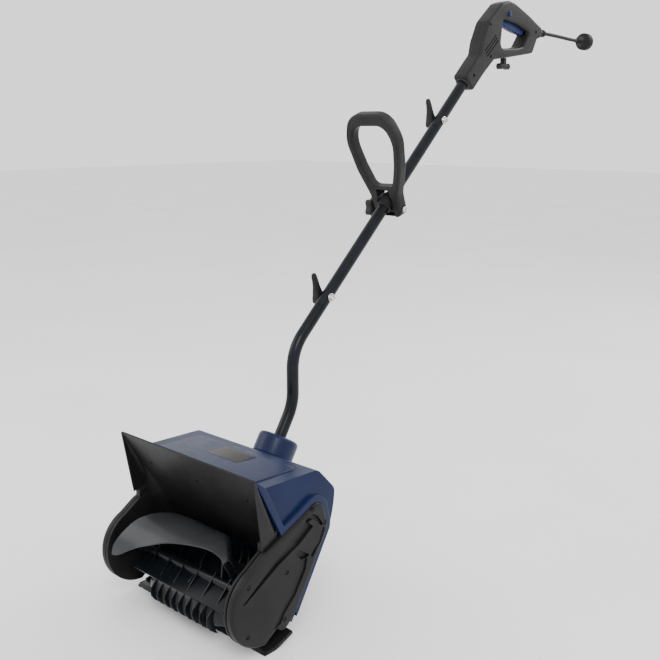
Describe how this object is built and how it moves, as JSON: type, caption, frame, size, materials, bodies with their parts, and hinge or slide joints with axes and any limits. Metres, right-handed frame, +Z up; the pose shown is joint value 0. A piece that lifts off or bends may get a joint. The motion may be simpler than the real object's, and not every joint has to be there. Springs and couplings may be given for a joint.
{
  "type": "electric snow shovel",
  "caption": "Corded electric snow shovel: wide belt-driven auger head with sloped deflector, bent tube shaft, tilting D front handle and closed rear trigger handle.",
  "frame": {"origin": "middle of the flat wear strip under the scraper bar, on the ground plane, halfway across the head", "axes": "+Z up, +Y back from the snow towards the user, +X the belt side, the user's right"},
  "size_m": [0.34, 1.31, 1.0626],
  "materials": {
    "black_plastic": "satin moulded black plastic with a fine texture",
    "blue_plastic": "semi-gloss navy blue moulded plastic",
    "badge": "smooth dark brown blank badge",
    "bright_steel": "bright plated steel",
    "black_steel": "black oxide steel",
    "belt_rubber": "matt black rubber",
    "auger_plastic": "semi-gloss dark grey moulded plastic",
    "tube_paint": "gloss blue-black paint on steel tube",
    "control_blue": "satin mid-blue plastic",
    "cord_rubber": "black flexible cord rubber",
    "contact_brass": "bare brass"
  },
  "bodies": {
    "root": {"auger_tunnel": "black_plastic", "snow_deflector": "black_plastic", "scraper_bar": "black_plastic", "motor_housing": "blue_plastic", "shaft_collar": "blue_plastic", "badge_plate": "badge", "cheek_plate_left": "black_plastic", "cheek_plate_right": "black_plastic", "belt_cover": "black_plastic", "left_cover": "black_plastic", "bearing_left": "bright_steel", "bearing_right": "bright_steel", "belt_cover_screw_1": "black_steel", "belt_cover_screw_2": "black_steel", "belt_cover_screw_3": "black_steel", "belt_cover_screw_4": "black_steel", "belt_cover_screw_5": "black_steel", "belt_cover_screw_6": "black_steel", "motor_can": "bright_steel", "motor_end_cap": "black_plastic", "drive_belt": "belt_rubber", "lower_tube": "tube_paint", "middle_tube": "tube_paint", "upper_tube": "tube_paint", "lower_joint_sleeve": "bright_steel", "upper_joint_sleeve": "bright_steel", "lower_joint_bolt": "bright_steel", "upper_joint_bolt": "bright_steel", "rear_handle_left_shell": "black_plastic", "rear_handle_right_shell": "black_plastic", "trigger_pin": "bright_steel", "trigger_spring": "bright_steel", "switch_block": "black_plastic", "cord_hook": "black_plastic", "strain_relief": "cord_rubber", "power_cord": "cord_rubber", "plug_body": "cord_rubber", "plug_blade_left": "contact_brass", "plug_blade_right": "contact_brass", "plug_ground_pin": "contact_brass"},
    "auger_assembly": {"auger": "auger_plastic", "auger_shaft": "bright_steel", "auger_pulley": "black_plastic"},
    "motor_armature": {"motor_rotor": "bright_steel", "cooling_fan": "black_plastic", "motor_pulley": "bright_steel"},
    "front_clamp": {"front_handle_clamp": "black_plastic"},
    "front_handle_body": {"front_handle": "black_plastic", "front_handle_bolt": "bright_steel"},
    "front_knob": {"front_handle_knob": "black_plastic"},
    "lower_lever": {"lower_joint_lever": "black_plastic"},
    "upper_lever": {"upper_joint_lever": "black_plastic"},
    "trigger_body": {"trigger": "control_blue"},
    "lock_button_body": {"lock_button": "control_blue"}
  },
  "joints": [
    {"name": "auger_spin", "type": "hinge", "parent": "root", "child": "auger_assembly", "pos_m": [0, -0.012, 0.09], "axis": [1, 0, 0], "continuous": true},
    {"name": "motor_spin", "type": "hinge", "parent": "root", "child": "motor_armature", "pos_m": [0, 0.1, 0.192], "axis": [1, 0, 0], "continuous": true},
    {"name": "front_clamp_slide", "type": "slide", "parent": "root", "child": "front_clamp", "axis": [0, 0.7267, 0.6869], "range_m": [-0.12, 0.12]},
    {"name": "front_handle_tilt", "type": "hinge", "parent": "front_clamp", "child": "front_handle_body", "pos_m": [0, 0.4878, 0.653], "axis": [1, 0, 0], "range_deg": [-10, 45]},
    {"name": "front_knob_turn", "type": "hinge", "parent": "front_handle_body", "child": "front_knob", "pos_m": [-0.042, 0.4878, 0.653], "axis": [1, 0, 0], "continuous": true},
    {"name": "lower_lever_turn", "type": "hinge", "parent": "root", "child": "lower_lever", "pos_m": [-0.02, 0.30814, 0.50549], "axis": [1, 0, 0], "range_deg": [0, 110]},
    {"name": "upper_lever_turn", "type": "hinge", "parent": "root", "child": "upper_lever", "pos_m": [-0.02, 0.63844, 0.81769], "axis": [1, 0, 0], "range_deg": [0, 110]},
    {"name": "trigger_squeeze", "type": "hinge", "parent": "root", "child": "trigger_body", "pos_m": [0, 0.932, 1.017], "axis": [1, 0, 0], "range_deg": [-5, 0], "stiffness_Nm_per_rad": 1.2, "springref_deg": 8.59, "deforming": ["trigger_spring"]},
    {"name": "lock_button_press", "type": "slide", "parent": "root", "child": "lock_button_body", "axis": [-1, 0, 0], "range_m": [0, 0.003], "stiffness_N_per_m": 500, "springref_m": -0.003}
  ],
  "couplings": [
    {"joint": "motor_spin", "follows": "auger_spin", "ratio": 4}
  ]
}
